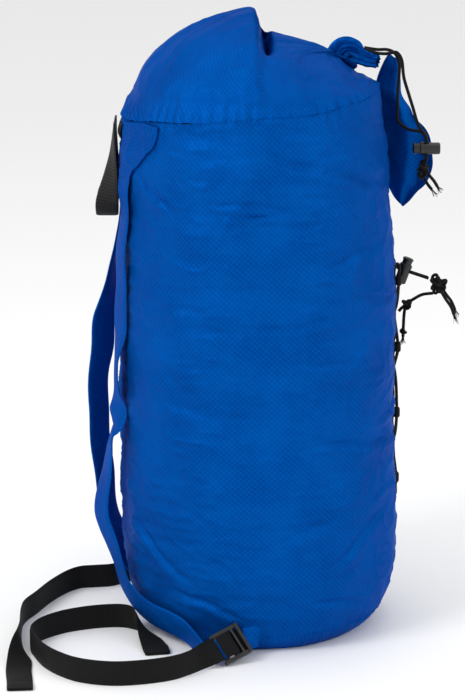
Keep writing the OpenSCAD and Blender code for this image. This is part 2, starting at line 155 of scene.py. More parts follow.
# ---- meshes
def add_mesh(name, verts, faces, body, weave, swap):
    """A mesh piece from points in millimetres; weave is a place in the cloth for each point."""
    mesh = bpy.data.meshes.new(name)
    mesh.from_pydata([tuple(c * MM for c in v) for v in verts], [], faces)
    mesh.validate()
    mesh.update()
    layer = mesh.attributes.new("weave", "FLOAT_VECTOR", "POINT")
    layer.data.foreach_set("vector", [c * MM for w in weave for c in w])
    mesh.polygons.foreach_set("use_smooth", [True] * len(mesh.polygons))
    mesh.set_sharp_from_angle(angle=SHARP_EDGE)
    obj = bpy.data.objects.new(name, mesh)
    SCENE.collection.objects.link(obj)
    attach(obj, body)
    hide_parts(*swap)
    return obj


def tube_faces(rings, sides, first=0):
    """Faces of a closed tube: its side and its two ends."""
    faces = []
    for i in range(rings - 1):
        for j in range(sides):
            a, b = first + i * sides + j, first + i * sides + (j + 1) % sides
            faces.append((a, b, b + sides, a + sides))
    faces.append(tuple(first + j for j in reversed(range(sides))))
    faces.append(tuple(first + (rings - 1) * sides + j for j in range(sides)))
    return faces


def shell_faces(rows, around):
    """Faces of a sheet bent round into a sleeve: its outside, its inside and its two hems."""
    count = (rows + 1) * around
    faces = []
    for i in range(rows):
        for j in range(around):
            n = (j + 1) % around
            a, b, c, d = i * around + j, i * around + n, (i + 1) * around + n, (i + 1) * around + j
            faces.append((a, b, c, d))
            faces.append((count + a, count + d, count + c, count + b))
    top = rows * around
    for j in range(around):
        n = (j + 1) % around
        faces.append((n, j, count + j, count + n))
        faces.append((top + j, top + n, count + top + n, count + top + j))
    return faces


def tube_points(path, radius, sides):
    """Rings round a path, with frames carried along it so the cord doesn't twist."""
    pts = [Vector(p[:3]) for p in path]
    verts, weave = [], []
    normal = None
    along = 0.0
    for i, p in enumerate(pts):
        tangent = (pts[min(i + 1, len(pts) - 1)] - pts[max(i - 1, 0)]).normalized()
        if normal is None:
            normal = tangent.cross(Vector((0.31, 0.52, 0.79))).normalized()
        normal = (normal - tangent * normal.dot(tangent)).normalized()
        other = tangent.cross(normal)
        if i:
            along += (p - pts[i - 1]).length
        for j in range(sides):
            a = 2 * pi * j / sides
            verts.append(p + (normal * cos(a) + other * sin(a)) * radius)
            weave.append((radius * a, along, 0.0))
    return verts, weave


def cord_mesh(name, route, swap):
    """A round braided cord along a route in millimetres. Returns it, its path and its length."""
    sides = 14
    path, length = even(spline(route, 10), 0.9)
    verts, weave = tube_points(path, CORD_D / 2, sides)
    obj = add_mesh(name, verts, tube_faces(len(path), sides), ROOT, weave, swap)
    return obj, [tuple(c * MM for c in p) for p in path[::4] + [path[-1]]], length * MM


def square_side(row, tangent):
    """The direction of a band's width at a row, square to its path."""
    side = Vector(row[4:7])
    return (side - tangent * side.dot(tangent)).normalized()


def band_points(rows, thick, across, rib, rib_depth, crown=0.0):
    """A flat band: rows are x, y, z, width and the direction of the width."""
    pts = [Vector(r[:3]) for r in rows]
    verts, weave = [], []
    along = 0.0
    for i, r in enumerate(rows):
        tangent = (pts[min(i + 1, len(pts) - 1)] - pts[max(i - 1, 0)]).normalized()
        if i:
            along += (pts[i] - pts[i - 1]).length
        side = square_side(r, tangent)
        up = tangent.cross(side)
        swell = rib_depth * abs(sin(pi * along / rib)) if rib else 0.0
        for face in (1, -1):
            for k in range(across + 1):
                u = (k / across * 2 - 1) * face
                edge = sqrt(max(1 - abs(u) ** 8, 0.03))
                h = face * (thick / 2 * edge + swell * edge) + crown * (1 - u * u)
                verts.append(pts[i] + side * (u * r[3] / 2) + up * h)
                weave.append((u * r[3] / 2, along, face * 1.0))
    return verts, weave


def band_mesh(name, route, thick, body, slot, swap, step=1.2, across=10, rib=0.0,
              rib_depth=0.0, steps=12, crown=0.0, hem=0.0, bend=None):
    """A sewn band or webbing along a route. hem is the length of the folded-over end."""
    rows, length = even(spline(route, steps), step)
    if bend:
        rows = [bend(r, i / (len(rows) - 1)) for i, r in enumerate(rows)]
    verts, weave = band_points(rows, thick, across, rib, rib_depth, crown)
    sides = 2 * (across + 1)
    faces = tube_faces(len(rows), sides)
    if hem:
        count = max(int(hem / step), 2)
        tail = []
        tangent = (Vector(rows[-1][:3]) - Vector(rows[-count][:3])).normalized()
        for i, r in enumerate(rows[-count:]):
            up = tangent.cross(square_side(r, tangent))
            if up.z < 0:
                up = -up
            t = i / (count - 1)
            lift = thick * (0.95 + 0.25 * sin(pi * t))
            tail.append(list(Vector(r[:3]) + up * lift) + r[3:])
        extra, more = band_points(tail, thick, across, rib, rib_depth)
        faces += tube_faces(len(tail), sides, len(verts))
        verts += extra
        weave += more
    obj = add_mesh(name, verts, faces, body, weave, swap)
    return obj, [tuple(c * MM for c in r[:3]) for r in rows[::5] + [rows[-1]]], length * MM


def join(name, parts, swap):
    """One piece from several lists of points and faces."""
    verts, faces, weave = [], [], []
    for v, f, w in parts:
        base = len(verts)
        verts += v
        faces += [tuple(base + i for i in face) for face in f]
        weave += w
    return add_mesh(name, verts, faces, ROOT, weave, swap)


def tube_part(route, diameter, sides=12, step=0.8, steps=8):
    """Points, faces and weave of a round strand along a route."""
    path, _ = even(spline(route, steps), step)
    verts, weave = tube_points(path, diameter / 2, sides)
    return verts, tube_faces(len(path), sides), weave


# ---- cords
CORD_D = 3.2
STRANDS = 16
STRAND_LENGTH = 7.0
WEB_W = 25.0


def on_edge(places):
    """Rows of webbing that stands on its edge on the floor."""
    return [(x, y, 12.6, 0, 0, -1) for x, y in places]


# The free tails: a point on the middle line and the direction of the width
TAIL_NEAR = [
    (-37.9, -153, 17.1, 0.52, -0.5, -0.69), (-41.6, -155.7, 16.4, 0.5, -0.45, -0.73),
    (-52, -163, 14.2, 0.2, -0.2, -0.96), (-66, -179, 12.8, 0, 0, -1),
    *on_edge([
        (-84, -194), (-113, -205), (-142, -208), (-171, -199), (-192, -181), (-208, -158),
        (-219, -130), (-224, -108), (-216, -84), (-198, -64), (-178, -52), (-158, -45), (-138, -43),
    ]),
    (-125, -50, 12.6, 0.1, 0, -1), (-116, -66, 11.8, 0.5, 0, -0.86),
    (-109, -84, 8.6, 0.87, -0.1, -0.48), (-104, -100, 4.8, 0.95, -0.2, -0.2),
    (-100, -114, 1.6, 0.95, -0.3, 0), (-98, -124, 1.2, 0.95, -0.3, 0),
]
TAIL_FAR = [
    (-37.9, 153, 17.1, 0.52, 0.5, -0.69), (-41.6, 155.7, 16.4, 0.5, 0.45, -0.73),
    (-52, 162, 14.2, 0.2, 0.2, -0.96), (-72, 158, 12.8, 0, 0, -1),
    *on_edge([
        (-100, 134), (-128, 106), (-150, 86), (-169, 81), (-185, 77), (-199, 61), (-214, 30),
        (-226, -4), (-235, -28), (-237.5, -50), (-236, -86),
    ]),
    (-234.5, -112, 12.4, 0.2, 0, -0.98), (-233.5, -132, 9.8, 0.65, 0, -0.76),
    (-232.5, -150, 4.6, 0.95, 0, -0.3), (-232, -170, 1.2, 1, 0, 0),
    (-229, -198, 1.2, 1, -0.05, 0), (-227, -222, 1.2, 1, -0.05, 0),
]
MOUTH_LONG = [
    (106, 20, 580), (116, 14, 577), (125, 7, 577), (131, 0, 579), (136.4, -3, 579.5),
    (141, -5, 572), (143, -7, 556), (147.5, -9, 541), (152, -11, 527), (157, -12, 511),
    (163, -12, 501), (166, -11.7, 494), (166, -11.6, 486), (166, -11.6, 473.4),
]
MOUTH_SHORT = [
    (106, 28, 580), (118, 22, 579), (128, 14, 580), (135, 8, 577), (139, 5, 568), (139, 5, 555),
    (138, 6, 541), (138, 6, 527), (138.5, 9, 511), (148, 4, 503), (158, -3, 502),
    (164.6, -7, 500), (166, -8.4, 494), (166, -8.4, 486), (166, -8.4, 473.4),
]
# The lacing is laid out about the front line and turned into its place
LACE_TURN = radians(9)
LACE_R = 141.0
LACE_ANGLE = radians(11.4)
LACE_Z0 = 148.0
LACE_PITCH = 68.0
LACE_RUNGS = 4
# Rise of the near and of the far half of the lace where they cross
LACE_UNDER = -2.3
LACE_OVER = 0.9
LOCK_AT = Vector((150, 0, 356))
LEAN = Vector((cos(radians(20)), 0, -sin(radians(20))))
TIE = [
    (180, 0, 331), (169, 0, 330), (160, -1, 326), (155.5, -1, 323), (153, -1, 320),
    (151, -1, 316), (150, -1.5, 308), (149.6, -2, 301), (149.4, -2, 295),
]
# The tie cord's short end, from its upper knot to the lacing
TIE_END = [(153, -1, 321), (149, -0.5, 318), (146.5, 0, 315.5), (144.9, 0, 313.5)]


def turned(route):
    """Points of the lacing turned into their place on the sack."""
    c, s = cos(LACE_TURN), sin(LACE_TURN)
    return [(p[0] * c - p[1] * s, p[0] * s + p[1] * c, p[2]) for p in route]


def lace_point(angle, z, lift):
    r = LACE_R + lift
    return (r * cos(angle), r * sin(angle), z)


def lace_route(side, lift):
    """Half of the lace, from the middle of the lowest rung, up the loops and out to the knot."""
    route = [lace_point(0, LACE_Z0 - 9, 0), lace_point(side * LACE_ANGLE * 0.8, LACE_Z0 - 8, 0)]
    for k in range(LACE_RUNGS):
        s = side if k % 2 == 0 else -side
        z = LACE_Z0 + k * LACE_PITCH
        route += [lace_point(s * LACE_ANGLE, z - 5, 0), lace_point(s * LACE_ANGLE, z + 5, 0)]
        if k < LACE_RUNGS - 1:
            route.append(lace_point(0, z + LACE_PITCH / 2, lift))
    s = -side
    route += [(140.8, s * 19, 364), (141, s * 8, 364.5), (141, s * 3, 361)]
    for reach in (-5.6, 0.0, 26.0):
        p = LOCK_AT + LEAN * reach
        route.append((p.x, s * 1.6, p.z))
    return turned(route)


def knot_part(centre, size, turn):
    """A knot drawn tight: a trefoil of cord."""
    route = []
    for i in range(25):
        t = 2 * pi * i / 24
        p = Vector((
            sin(t) + 2 * sin(2 * t), cos(t) - 2 * cos(2 * t),
            -1.3 * sin(3 * t),
        )) * (size / 3.0)
        p.rotate(turn)
        route.append(tuple(Vector(centre) + p))
    return tube_part(route, CORD_D, steps=5)


def frayed_parts(tip, way, seed):
    """Loose strands at a cord's cut end."""
    rng = random.Random(seed)
    way = Vector(way).normalized()
    parts = []
    for _ in range(STRANDS):
        out = Vector((rng.uniform(-1, 1), rng.uniform(-1, 1), rng.uniform(-1, 1)))
        reach = STRAND_LENGTH * rng.uniform(0.6, 1.1)
        start = Vector(tip) + out * 0.8
        mid = start + way * reach * 0.5 + out * 0.5
        end = start + way * reach + out * 1.9
        route = [tuple(start - way * 1.5), tuple(mid), tuple(end)]
        parts.append(tube_part(route, 0.4, sides=5, step=1.2, steps=4))
    return parts


def make_knot(name, knots, tails, seed, swap, put=list, plain=0):
    """A knot with its tails, of which the first few are plain; put moves points into place."""
    parts = [knot_part(put([c])[0], s, Euler([radians(v) for v in turn])) for c, s, turn in knots]
    for i, tail in enumerate(map(put, tails)):
        parts.append(tube_part(tail, CORD_D))
        if i >= plain:
            way = Vector(tail[-1]) - Vector(tail[-2])
            parts += frayed_parts(tail[-1], way, seed + i)
    return join(name, parts, swap)


def make_cords():
    mouth_knot = make_knot(
        "mouth_cord_knot",
        [((164, -10, 468), 5.6, (20, 70, 10)), ((162, -10, 462), 5.0, (80, 10, 40))],
        [[(165, -12, 466), (169, -14, 460), (174, -15, 454), (177, -15, 449)],
         [(162, -8, 464), (164, -9, 457), (168, -10, 450), (172, -10, 445)]],
        11, ["mouth_knot"])
    for name, route, with_pieces in (
        ("mouth_cord_long", MOUTH_LONG, [mouth_knot]), ("mouth_cord_short", MOUTH_SHORT, []),
    ):
        cord, path, length = cord_mesh(name + "_braid", route, [name])

    lace_knot = make_knot(
        "lace_cord_knot",
        [((182, 0, 343), 7.0, (10, 80, 0)), ((188.5, 0.5, 340), 6.4, (70, 20, 30)),
         ((183.5, -1, 335.5), 6.2, (30, 40, 90)), ((186, 1, 342), 5.0, (50, 60, 20))],
        [[(189, 2, 337), (194, 3, 329), (200, 4, 321), (204, 4, 312)],
         [(187, -2, 335), (192, -3, 326), (198, -4, 317), (201, -4, 309)]],
        21, ["lace_knot"], turned)
    for side, name, lift in ((-1, "lace_cord_near", LACE_UNDER), (1, "lace_cord_far", LACE_OVER)):
        cord, path, length = cord_mesh(name + "_braid", lace_route(side, lift), [name])

    tie_knots = make_knot(
        "tie_cord_knots",
        [((153, -1, 321), 4.8, (60, 10, 20)), ((149.4, -2, 292.5), 2.6, (10, 60, 50))],
        [TIE_END, [(149.4, -2, 293), (149.3, -2.2, 290), (149.2, -2.4, 287.5)]],
        31, ["lace_tie_knots"], turned, 1)
    tie, path, length = cord_mesh("tie_cord_braid", turned(TIE), ["lace_tie_cord"])

    for name, route in (("webbing_tail_near", TAIL_NEAR), ("webbing_tail_far", TAIL_FAR)):
        rows = [(x, y, z, WEB_W, a, b, c) for x, y, z, a, b, c in route]
        tail, path, length = band_mesh(
            name + "_weave", rows, 1.4, ROOT, "webbing", [name], step=0.5, across=8,
            rib=2.4, rib_depth=0.28, hem=17.0)


# ---- shape of the filled sack
# Distance of the sack's left, right and front outlines from its axis, by height
LEFT = [
    (0, 106), (6, 114), (14, 120.5), (34, 127.5), (64, 132), (90, 135), (124, 137), (153, 138),
    (268, 137), (382, 136), (470, 135), (505, 133), (521, 130.5),
]
RIGHT = [
    (0, 108), (8, 119), (23, 129.5), (41, 136.5), (68, 141), (121, 142), (164, 141.5),
    (198, 140), (250, 139), (300, 138.5), (342, 138), (370, 137.5), (409, 134), (432, 130.5),
    (471, 128.5), (500, 126), (521, 122.5), (545, 118.5),
]
FRONT = [
    (0, 107), (8, 116), (18, 121.5), (40, 128), (70, 133), (120, 136), (300, 136.5), (420, 135),
    (480, 133), (530, 127.5), (545, 125),
]
BASE_SEAM_Z = 18.0
SEAM_MID_Z = 533.0
SEAM_RISE = 0.094
# Rings of the hood from its seam to the mouth: centre, radius, tilt in degrees
HOOD = [
    (-4.5, 0, 549, 118.5, -1.5), (-6, 0, 562, 111, 0.8), (-3.5, 1, 577, 97, 4.1),
    (3, 3, 589.5, 81, 8.2), (18, 8, 597, 62, 13), (42, 14, 597, 46, 18), (66, 19, 591, 31, 24),
    (82, 23, 584, 19, 30), (88, 25, 580, 12, 34),
]
# The hood's outline seen from the front: place along X and height
OUTLINE = [
    (-131, 524), (-125, 537.6), (-119.7, 554), (-112.5, 568.8), (-105, 578.7), (-91.6, 589.5),
    (-73, 602.5), (-56, 610.5), (-38, 616), (-21, 620.5), (-8, 624), (-2, 622), (3, 611), (7, 605),
    (13, 603.5), (24.6, 600.5), (41, 596), (58, 591), (70, 586), (85, 575), (97, 565), (108, 555.5),
    (118, 545.5), (124, 535),
]
# Height that a point gains in the front view for each millimetre that it lies further back
VIEW_SLOPE = 0.254
# How steeply the hood falls away behind its ridge
BACK_FALL = 0.2
RIDGE_FROM = -132.0
RIDGE_STEP = 6.0
RIDGE_COUNT = 44
# Creases in the tube's cloth: two ends as angle and height, depth and width
CREASES = [
    (-93, 534, -86, 526, 1.0, 2.6), (-87, 503, -64, 484, 2.0, 5.5), (-64, 484, -24, 462, 1.8, 6.0),
    (-108, 455, -70, 448, 1.4, 4.0), (-104, 444, -66, 441, 1.2, 3.5), (-101, 432, -62, 433, 1.0, 4.0),
    (-62, 213, -8, 200, 1.7, 4.6), (-100, 330, -60, 338, 1.0, 5.0), (-125, 250, -95, 242, 0.9, 6.0),
    (-80, 300, -45, 290, 1.1, 5.0), (-58, 392, -28, 404, 1.3, 5.0), (-50, 356, -16, 344, 1.2, 4.5),
    (-45, 280, -12, 272, 1.1, 4.5), (-84, 120, -52, 142, 1.0, 7.0), (-60, 90, -30, 132, 1.6, 6.0),
    (-148, 470, -125, 440, 1.6, 5.0), (-150, 120, -120, 70, 1.8, 6.0), (-128, 62, -100, 42, 1.6, 5.0),
    (-30, 226, -6, 236, 1.2, 4.0), (-72, 60, -40, 40, 1.6, 5.0), (-40, 150, -12, 160, 1.3, 4.0),
    (30, 470, 70, 440, 2.0, 6.0), (60, 300, 110, 316, 1.4, 6.0), (100, 200, 150, 180, 1.6, 6.0),
    (70, 120, 120, 96, 1.6, 6.0), (130, 400, 165, 420, 1.5, 6.0), (20, 380, 50, 360, 1.4, 5.0),
    (15, 250, 60, 230, 1.6, 5.0), (160, 300, 175, 260, 1.2, 5.0), (-176, 350, -160, 330, 1.2, 5.0),
]
CREASE_GAIN = 1.4
# Length along the tube of one degree round it
MM_PER_DEGREE = 2.35


def seam_height(angle):
    """Height of the seam between the tube and the hood, which sways a little."""
    sway = 1.6 * sin(3 * angle + 1) + 0.9 * sin(7 * angle)
    return SEAM_MID_Z + SEAM_RISE * 130 * cos(angle) + sway


def crease_depth(deg, z):
    """How far the creases press the cloth in, and how far the fold beside each one stands out."""
    total = 0.0
    for a0, z0, a1, z1, depth, width in CREASES:
        if abs(z - (z0 + z1) / 2) > abs(z1 - z0) / 2 + 5 * width:
            continue
        ax, ay = (a1 - a0) * MM_PER_DEGREE, z1 - z0
        px, py = (deg - a0) * MM_PER_DEGREE, z - z0
        span = ax * ax + ay * ay
        t = (px * ax + py * ay) / span
        wave = 1.6 * sin(7 * t + a0)
        off = (px * ay - py * ax) / sqrt(span) + wave
        if t < -0.25 or t > 1.25 or abs(off) > 5 * width:
            continue
        fade = smoothstep(-0.2, 0.25, t) * (1 - smoothstep(0.75, 1.2, t))
        shape = bell(off, 0, width * 0.55) - 0.75 * bell(off, width * 1.5, width)
        total += CREASE_GAIN * depth * fade * shape
    return total


def ruffle(angle, z):
    """Soft lumps and fine wrinkles of thin cloth over a soft filling."""
    c, s = cos(angle), sin(angle)
    lumps = noise.noise(Vector((c * 2.4, s * 2.4, z / 120.0)))
    wide = noise.noise(Vector((c * 3.4 + 7, s * 3.4, z / 26.0 + 0.8 * c)))
    fine = noise.noise(Vector((c * 9 + 3, s * 9, z / 12.0 + 2.2 * s)))
    sharp = 1 - abs(noise.noise(Vector((c * 4.6, s * 4.6 + 5, z / 17.0 + 1.7 * c)))) * 2.6
    flat = noise.noise(Vector((c * 1.9 + 11, s * 1.9, z / 8.5 + 1.2 * s)))
    return 2.2 * lumps + 1.9 * wide + 0.5 * fine + 0.9 * flat + 1.5 * max(sharp, 0.0) ** 3


def pucker(angle, distance, count, depth, reach):
    """Gathers beside a seam, which fade away from it."""
    wave = sin(count * angle + 2.2 * sin(5 * angle) + 1.3 * sin(11 * angle))
    return depth * wave * exp(-distance / reach)


def tube_point(angle, z):
    """The tube's cloth at an angle and a height."""
    left, right, front = profile(LEFT, z), profile(RIGHT, z), profile(FRONT, z)
    middle = (right - left) / 2
    half = (right + left) / 2
    c, s = cos(angle), sin(angle)
    deg = degrees(angle)
    if deg > 180:
        deg -= 360
    r = ruffle(angle, z) * smoothstep(0, 60, z)
    r -= crease_depth(deg, z)
    r -= 2.6 * bell(deg, -87, 8) * smoothstep(60, 160, z) * (1 - smoothstep(430, 520, z))
    r += 1.6 * bell(deg, -112, 12) + 1.2 * bell(deg, -66, 9)
    laced = smoothstep(100, 140, z) * (1 - smoothstep(360, 400, z))
    r -= 2.2 * bell(deg, 10, 15) * laced
    r += 0.8 * pucker(angle, abs(seam_height(angle) - z), 64, 1.1, 9)
    r += pucker(angle, abs(z - BASE_SEAM_Z), 58, 0.9, 8)
    return [middle + (half + r) * c, (front + r) * s, z]


def base_point(angle, t):
    """From the middle of the base, t = 0, to the base seam, t = 1."""
    flat = 0.84
    if t < flat:
        rim = tube_point(angle, 0.0)
        x, y = rim[0] * t / flat, rim[1] * t / flat
        return [x, y, 0.35 + 0.5 * noise.noise(Vector((x, y, 3)) / 40)]
    k = (t - flat) / (1 - flat)
    p = tube_point(angle, BASE_SEAM_Z * k ** 1.35)
    p[2] = max(p[2], 0.1)
    return p


HOOD_ROWS = spline(HOOD, 16)


def ring_point(angle, t):
    """The hood before its outline is fitted: from its seam, t = 0, to the mouth, t = 1."""
    c, s = cos(angle), sin(angle)
    first = 0.1
    at = max(t - first, 0.0) / (1 - first) * (len(HOOD_ROWS) - 1)
    i = min(int(at), len(HOOD_ROWS) - 2)
    x, y, z, r, tilt = [lerp(a, b, at - i) for a, b in zip(HOOD_ROWS[i], HOOD_ROWS[i + 1])]
    tilt = radians(tilt)
    squash = lerp(1.035, 1.0, smoothstep(0, 0.4, t))
    p = Vector((x + r * c * cos(tilt), y + r * s * squash, z - r * c * sin(tilt)))
    if t < first:
        rim = Vector(tube_point(angle, seam_height(angle)))
        k = t / first
        p = rim.lerp(p, k * k * (3 - 2 * k) * 0.45 + k * 0.55)
    p.z -= BACK_FALL * max(p.y, 0.0) * smoothstep(0.05, 0.3, t)
    return p, r


def ridge_heights():
    """For each step along X, how high the unfitted hood looks from the front."""
    tops = [0.0] * RIDGE_COUNT
    for i in range(81):
        for j in range(180):
            p, _ = ring_point(2 * pi * j / 180, i / 80)
            k = int((p.x - RIDGE_FROM) / RIDGE_STEP)
            if 0 <= k < RIDGE_COUNT:
                tops[k] = max(tops[k], p.z + VIEW_SLOPE * p.y)
    return [(RIDGE_FROM + RIDGE_STEP * (k + 0.5), v) for k, v in enumerate(tops) if v > 0]


RIDGE_ROWS = ridge_heights()


def hood_point(angle, t):
    """The hood from its seam, t = 0, to the mouth, t = 1, fitted to its outline."""
    c, s = cos(angle), sin(angle)
    p, r = ring_point(angle, t)
    low = seam_height(angle)
    fold = smoothstep(0.0, 0.25, t)
    looks, wanted = profile(RIDGE_ROWS, p.x), profile(OUTLINE, p.x)
    scale = (wanted - SEAM_MID_Z) / max(looks - SEAM_MID_Z, 6.0)
    p.z = low + (p.z - low) * lerp(1.0, min(max(scale, 0.3), 1.4), fold)
    seen = p.z + VIEW_SLOPE * p.y
    slit = bell(p.x, 8.0 - 0.1 * (seen - 590), 3.4) * smoothstep(566, 584, seen) * (p.y < 40)
    p.z -= 17.0 * slit * fold
    p.y += 14.0 * slit * fold
    lip = bell(p.x, 0.5, 4.0) * smoothstep(570, 590, seen) * (p.y < 40)
    p.y -= 5.0 * lip * fold
    outward = Vector((c * 0.7, s * 0.7, 0.7))
    amount = pucker(angle, t * 110, 64, 0.7, 9) + 0.8 * ruffle(angle, 540 + 90 * t)
    gather = smoothstep(0.55, 1.0, t)
    amount += gather * 2.0 * sin(15 * angle + 1.2 * sin(3 * angle)) * min(r / 40.0, 1.0)
    return list(p + outward * amount * (1 - 0.6 * smoothstep(0.93, 1.0, t)))


AROUND = 288
# Radius and length that the weave is laid out on
WEAVE_R = 136.0
HOOD_LENGTH = 190.0
# How far the filling lies inside the cloth of the sack and of the hood
FILL_INSET = 10.0
HOOD_INSET = 24.0
CLOTH_T = 0.6


def make_surface(name, point, rows, swap, cloth, low):
    """A closed thin sheet of cloth round the sack, from the share low of its length to the end."""
    verts, weave = [], []
    for i in range(rows + 1):
        t = lerp(low, 1.0, i / rows)
        for j in range(AROUND):
            a = 2 * pi * j / AROUND
            p = point(a, t)
            verts.append(p)
            weave.append((a * WEAVE_R, cloth(p, t), 0.0))
    middle = sum(v[2] / len(verts) for v in verts)
    inner = []
    for v in verts:
        d = Vector((v[0], v[1], (v[2] - middle) * 0.6))
        d = d.normalized() if d.length > 1 else Vector((0, 0, -1 if middle < 40 else 1))
        inner.append([v[k] - CLOTH_T * d[k] for k in range(3)])
    add_mesh(name, verts + inner, shell_faces(rows, AROUND), ROOT, weave + weave, swap)


def make_filling():
    """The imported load, just inside the cloth, from the base to the mouth."""
    around = 72
    rings = [(base_point, 0.15 + 0.15 * i) for i in range(6)]
    rings += [(tube_by_share, i / 24) for i in range(1, 25)]
    rings += [(hood_point, i / 20) for i in range(1, 20)]
    verts, weave = [], []
    for point, t in rings:
        for j in range(around):
            a = 2 * pi * j / around
            p = Vector(point(a, t))
            inward = Vector((p.x, p.y, (p.z - 300) * 0.5)).normalized()
            p -= inward * (HOOD_INSET if point is hood_point else FILL_INSET)
            p.z = max(p.z, 2.0)
            verts.append(p)
            weave.append((a * 130, p.z, 0.0))
    add_mesh("packed_filling", verts, tube_faces(len(rings), around), ROOT, weave,
             ["packed_fill"])


def tube_by_share(angle, t):
    return tube_point(angle, lerp(BASE_SEAM_Z, seam_height(angle), t))


def make_sack():
    make_surface("sack_base", base_point, 60, ["base_panel"],
                 lambda p, t: hypot(p[0], p[1]), 0.02)
    span = SEAM_MID_Z - BASE_SEAM_Z
    make_surface("sack_tube", tube_by_share, 250, ["main_tube"], lambda p, t: t * span, 0.0)
    make_surface("sack_hood", hood_point, 90, ["hood_panel"], lambda p, t: t * HOOD_LENGTH, 0.0)
    for name, height, node in (
        ("base_seam_piping", lambda a: BASE_SEAM_Z, "base_seam_binding"),
        ("hood_seam_piping", seam_height, "hood_seam_binding"),
    ):
        ring = []
        for j in range(361):
            a = 2 * pi * j / 360
            p = Vector(tube_point(a, height(a)))
            ring.append(p + Vector((cos(a), sin(a), 0)) * 0.1)
        verts, weave = tube_points(ring, 0.4, 10)
        add_mesh(name, verts, tube_faces(len(ring), 10), ROOT, weave, [node])


# ---- mouth and throat flap
# The gathered mouth: a folded tube of cloth from the hood to the drawcord, with its radius
MOUTH = [
    (79, 27, 555, 8), (81.5, 26.5, 566, 12.5), (86, 26, 576, 12), (93.5, 24.5, 577, 9.5),
    (101, 21.5, 573.5, 7.5), (109.5, 17.5, 570, 6.2), (118.5, 13, 568.5, 5.2),
]
MOUTH_FOLDS = 11
# Throat flap: height, left edge, right edge, depth of its folds
FLAP = [
    (572, 130, 138, 1), (562, 125, 141, 2), (548, 120, 142, 3), (534, 117, 143.5, 4),
    (522, 115, 151.5, 5), (512, 114.5, 156, 5), (504, 114.5, 165, 5), (494, 115, 171, 5),
    (478, 116, 173.5, 5), (464, 118, 174, 4.5), (448, 127, 169, 4), (437, 132, 160, 3),
    (428, 137, 153, 2), (421, 143, 147, 1),
]


def make_mouth():
    path, _ = even(spline(MOUTH, 12), 0.8)
    verts, weave, around = [], [], 132
    for layer in (0.0, 0.9):
        for i, (x, y, z, r) in enumerate(path):
            t = i / (len(path) - 1)
            ahead, behind = path[min(i + 1, len(path) - 1)], path[max(i - 1, 0)]
            way = (Vector(ahead[:3]) - Vector(behind[:3])).normalized()
            side = way.cross(Vector((0, 1, 0))).normalized()
            up = way.cross(side)
            for j in range(around):
                a = 2 * pi * j / around
                wave = sin(MOUTH_FOLDS * a + 1.5 * sin(2 * a) + 3 * t)
                wave += 0.4 * sin(23 * a + 5 * t)
                wide = r * (1 + 0.22 * wave) - layer
                wide += 2.2 * noise.noise(Vector((3 * cos(a), 3 * sin(a), t * 5)))
                verts.append(Vector((x, y, z)) + (side * cos(a) + up * sin(a)) * wide)
                weave.append((a * 12, t * 55, 0.0))
    add_mesh("mouth_gather", verts, shell_faces(len(path) - 1, around), ROOT, weave,
             ["mouth_channel"])


def make_flap():
    rows = spline(FLAP, 9)
    across = 48
    verts, weave = [], []
    for layer in (0.0, 0.7):
        for i, (z, left, right, fold) in enumerate(rows):
            t = i / (len(rows) - 1)
            for k in range(across + 1):
                u = k / across
                x = lerp(left, right, u)
                y = 42 - 0.62 * (x - 130) - 10 * (1 - t)
                y += fold * sin(5.2 * u + 3.0 * t + 0.6) + 0.4 * fold * sin(13 * u + 6 * t)
                y += 1.2 * noise.noise(Vector((x / 9, z / 16, 2.0)))
                dz = 1.4 * sin(4 * u + 1.5) + 0.8 * noise.noise(Vector((x / 12, 5, z / 14)))
                verts.append(Vector((x, y - layer, z + dz)))
                weave.append((u * 50, z, 0.0))
    wide = across + 1
    count = len(rows) * wide
    faces = []
    for i in range(len(rows) - 1):
        for k in range(across):
            a, b, c, d = i * wide + k, i * wide + k + 1, (i + 1) * wide + k + 1, (i + 1) * wide + k
            faces.append((a, b, c, d))
            faces.append((count + a, count + d, count + c, count + b))
    rim = list(range(wide))
    rim += [i * wide + across for i in range(1, len(rows))]
    rim += [(len(rows) - 1) * wide + k for k in reversed(range(across))]
    rim += [i * wide for i in reversed(range(1, len(rows) - 1))]
    for a, b in zip(rim, rim[1:] + rim[:1]):
        faces.append((b, a, count + a, count + b))
    flap = add_mesh("throat_flap_cloth", verts, faces, ROOT, weave, ["throat_flap"])


# ---- shoulder straps
STRAP_TOP = [
    (-117.5, -67.5, 523, 74, 0.5, -0.866, 0), (-118, -67, 517, 70, 0.5, -0.866, 0),
    (-120.5, -64, 508, 60, 0.46, -0.89, 0), (-124.5, -59, 496, 49, 0.43, -0.9, 0),
    (-129.6, -51, 478, 35, 0.366, -0.93, 0), (-131, -48.5, 455, 31, 0.334, -0.94, 0),
]
STRAP_FOOT = [
    (-132.5, -46, 48, 29, 0.3, -0.8, 0.41), (-124, -54, 36, 29, 0.1, -0.55, 0.8),
    (-113.5, -65, 29.5, 29, -0.1, -0.3, 0.95), (-98.5, -84.5, 26, 28, -0.16, -0.2, 0.96),
    (-83, -100.5, 23.5, 27, -0.2, -0.1, 0.97), (-69, -113.5, 19, 26, -0.15, -0.1, 0.98),
    (-60, -130, 14.8, 23, -0.1, 0, 0.98), (-53.5, -143.5, 12.6, 19, -0.2, 0.25, 0.93),
    (-47.8, -149, 11.5, 17, -0.45, 0.45, 0.75), (-42.5, -149.6, 11.9, 17, -0.5, 0.5, 0.69),
    (-38.3, -148.1, 13.3, 17, -0.5, 0.5, 0.69),
]
STRAP_W = 30
